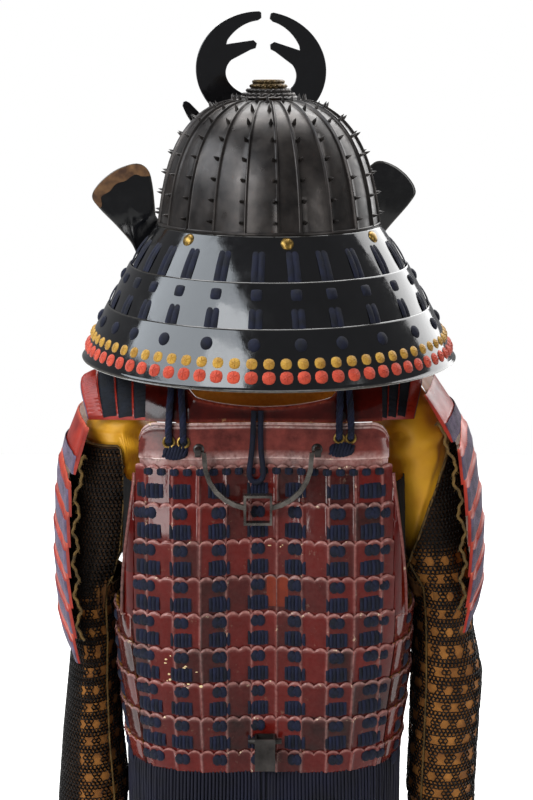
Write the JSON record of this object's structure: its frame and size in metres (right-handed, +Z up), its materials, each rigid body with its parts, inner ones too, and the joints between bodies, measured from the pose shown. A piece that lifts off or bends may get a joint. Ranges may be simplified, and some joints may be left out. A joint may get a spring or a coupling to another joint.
{
  "type": "samurai armour",
  "caption": "Laced Japanese armour as worn: ridged helmet with neck guard and crab-claw crest, scalloped cuirass, shoulder guards, mail sleeves and tassets.",
  "frame": {"origin": "midway between the undersides of the two shoulder straps, where they rest on the wearer's shoulders", "axes": "+Z up; +Y the wearer's front; +X the wearer's right hand"},
  "size_m": [0.4568, 0.3519, 1.0307],
  "materials": {
    "russet_iron": "satin",
    "black_lacquer": "gloss",
    "red_lacquer": "gloss",
    "vermilion_lacquer": "satin",
    "navy_silk": "matte",
    "ochre_satin": "satin",
    "mail_on_cloth": "matte"
  },
  "bodies": {
    "armour": {"helmet_bowl": "russet_iron", "crown_fitting": "russet_iron", "neck_guard_lame_1": "black_lacquer", "neck_guard_lame_2": "black_lacquer", "neck_guard_lame_3": "black_lacquer", "helmet_peak": "black_lacquer", "wing_left": "black_lacquer", "wing_right": "black_lacquer", "crest": "black_lacquer", "crest_holder": "black_lacquer", "back_yoke": "red_lacquer", "back_plate": "red_lacquer", "back_lame_1": "red_lacquer", "back_lame_2": "red_lacquer", "back_lame_3": "red_lacquer", "back_lame_4": "red_lacquer", "back_lame_5": "red_lacquer", "back_lame_6": "red_lacquer", "back_lame_7": "red_lacquer", "back_lame_8": "red_lacquer", "back_lame_9": "red_lacquer", "front_shell": "red_lacquer", "breast_plate": "red_lacquer", "strap_left": "red_lacquer", "strap_right": "red_lacquer", "pole_socket": "russet_iron", "shoulder_wing_left": "navy_silk", "shoulder_guard_left_1": "vermilion_lacquer", "shoulder_guard_left_2": "vermilion_lacquer", "shoulder_guard_left_3": "vermilion_lacquer", "shoulder_guard_left_4": "vermilion_lacquer", "shoulder_guard_left_5": "vermilion_lacquer", "shoulder_guard_left_6": "vermilion_lacquer", "shoulder_guard_left_7": "vermilion_lacquer", "shoulder_wing_right": "navy_silk", "shoulder_guard_right_1": "vermilion_lacquer", "shoulder_guard_right_2": "vermilion_lacquer", "shoulder_guard_right_3": "vermilion_lacquer", "shoulder_guard_right_4": "vermilion_lacquer", "shoulder_guard_right_5": "vermilion_lacquer", "shoulder_guard_right_6": "vermilion_lacquer", "shoulder_guard_right_7": "vermilion_lacquer", "shoulder_cloth_left": "ochre_satin", "mail_sleeve_left": "mail_on_cloth", "hand_plate_left": "black_lacquer", "shoulder_cloth_right": "ochre_satin", "mail_sleeve_right": "mail_on_cloth", "hand_plate_right": "black_lacquer", "waist_lacing": "navy_silk", "tasset_1": "red_lacquer", "tasset_2": "red_lacquer", "tasset_3": "red_lacquer", "tasset_4": "red_lacquer", "tasset_5": "red_lacquer", "tasset_6": "red_lacquer", "tasset_7": "red_lacquer", "middle_cord": "navy_silk", "strap_cord_left": "navy_silk", "strap_cord_right": "navy_silk"},
    "bracket": {"pole_bracket": "russet_iron"}
  },
  "joints": [
    {"name": "bracket_fold", "type": "hinge", "parent": "armour", "child": "bracket", "pos_m": [-0.0055, -0.117, -0.0705], "axis": [-1, 0, 0], "range_deg": [0, 95]}
  ]
}
